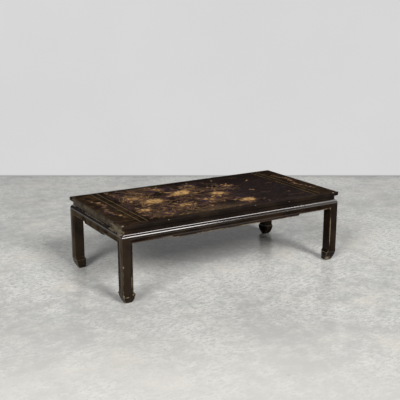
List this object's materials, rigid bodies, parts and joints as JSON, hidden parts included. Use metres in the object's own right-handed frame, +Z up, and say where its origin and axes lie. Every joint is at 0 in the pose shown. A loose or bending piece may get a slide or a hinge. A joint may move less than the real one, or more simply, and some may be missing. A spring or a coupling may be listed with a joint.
{
  "type": "kang table",
  "caption": "Low waisted kang table in dark lacquer, with a framed, painted and gilt panel top, beaded stepped aprons and square legs on inward-turned horse-hoof feet.",
  "frame": {"origin": "on the floor, below the middle of the table", "axes": "+X along the table's length, +Y from the front long side to the back one, +Z up"},
  "size_m": [1.222, 0.614, 0.368],
  "materials": {
    "top_lacquer": "aged aubergine-brown lacquer with painted and gilt decoration, semi-gloss and worn",
    "frame_lacquer": "aged brown-black lacquer, semi-gloss, rubbed through to pale wood on the arrises and beads",
    "batten_wood": "thinly lacquered dark softwood, matt",
    "nail_iron": "rusted iron, matt"
  },
  "bodies": {
    "root": {"top_rail_front": "top_lacquer", "top_rail_back": "top_lacquer", "top_rail_left": "top_lacquer", "top_rail_right": "top_lacquer", "top_board_front": "top_lacquer", "top_board_middle": "top_lacquer", "top_board_back": "top_lacquer", "panel_batten_1": "batten_wood", "panel_batten_2": "batten_wood", "panel_batten_3": "batten_wood", "panel_batten_4": "batten_wood", "waist_front": "frame_lacquer", "waist_back": "frame_lacquer", "waist_left": "frame_lacquer", "waist_right": "frame_lacquer", "apron_front": "frame_lacquer", "apron_back": "frame_lacquer", "apron_left": "frame_lacquer", "apron_right": "frame_lacquer", "leg_front_left": "frame_lacquer", "leg_front_right": "frame_lacquer", "leg_back_left": "frame_lacquer", "leg_back_right": "frame_lacquer", "waist_nails": "nail_iron"}
  },
  "joints": []
}
